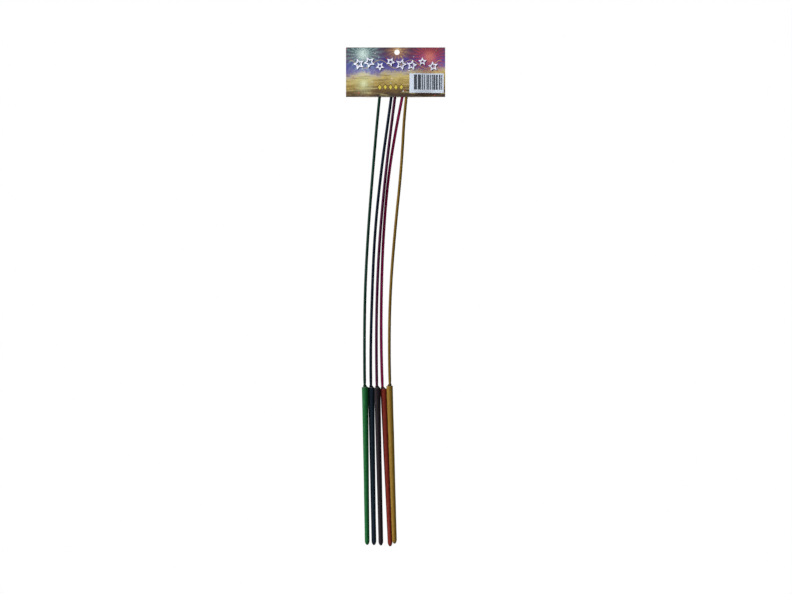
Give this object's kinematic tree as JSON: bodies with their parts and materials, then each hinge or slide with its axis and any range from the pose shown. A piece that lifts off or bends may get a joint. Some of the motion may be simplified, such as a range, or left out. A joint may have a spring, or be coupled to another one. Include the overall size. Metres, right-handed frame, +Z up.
{
  "type": "stick fountain pack",
  "caption": "Hanging retail pack of coloured hand-held stick fountains: bowed dyed sticks with tapered paper tubes, held in a folded header card with a round hang hole.",
  "frame": {"origin": "centre of the hang hole, midway between the card's two outer faces", "axes": "+X to the right as seen from the printed front, +Y to the back along the hang hole, +Z up"},
  "size_m": [0.1, 0.009, 0.503],
  "materials": {
    "card": "gloss",
    "tape": "satin",
    "clay": "matte",
    "composition": "matte",
    "stick_green": "satin",
    "paper_green": "matte",
    "prime_green": "matte",
    "stick_navy": "satin",
    "paper_navy": "matte",
    "prime_navy": "matte",
    "stick_purple": "satin",
    "paper_purple": "matte",
    "prime_purple": "matte",
    "stick_red": "satin",
    "paper_red": "matte",
    "prime_red": "matte",
    "stick_yellow": "satin",
    "paper_yellow": "matte",
    "prime_yellow": "matte"
  },
  "bodies": {
    "card": {"header_card": "card", "tape_strip": "tape"},
    "fountain_green": {"stick_green": "stick_green", "tube_green": "paper_green", "plug_green": "clay", "charge_green": "composition", "tip_green": "prime_green"},
    "fountain_navy": {"stick_navy": "stick_navy", "tube_navy": "paper_navy", "plug_navy": "clay", "charge_navy": "composition", "tip_navy": "prime_navy"},
    "fountain_purple": {"stick_purple": "stick_purple", "tube_purple": "paper_purple", "plug_purple": "clay", "charge_purple": "composition", "tip_purple": "prime_purple"},
    "fountain_red": {"stick_red": "stick_red", "tube_red": "paper_red", "plug_red": "clay", "charge_red": "composition", "tip_red": "prime_red"},
    "fountain_yellow": {"stick_yellow": "stick_yellow", "tube_yellow": "paper_yellow", "plug_yellow": "clay", "charge_yellow": "composition", "tip_yellow": "prime_yellow"}
  },
  "joints": [
    {"name": "pull_green", "type": "slide", "parent": "card", "child": "fountain_green", "axis": [0.014, 0.001, -0.9999], "range_m": [0, 0.026]},
    {"name": "pull_navy", "type": "slide", "parent": "card", "child": "fountain_navy", "axis": [0.0175, -0.001, -0.9998], "range_m": [0, 0.026]},
    {"name": "pull_purple", "type": "slide", "parent": "card", "child": "fountain_purple", "axis": [0.0227, 0.001, -0.9997], "range_m": [0, 0.026]},
    {"name": "pull_red", "type": "slide", "parent": "card", "child": "fountain_red", "axis": [0.0314, -0.001, -0.9995], "range_m": [0, 0.026]},
    {"name": "pull_yellow", "type": "slide", "parent": "card", "child": "fountain_yellow", "axis": [0.0349, 0.001, -0.9994], "range_m": [0, 0.026]}
  ]
}
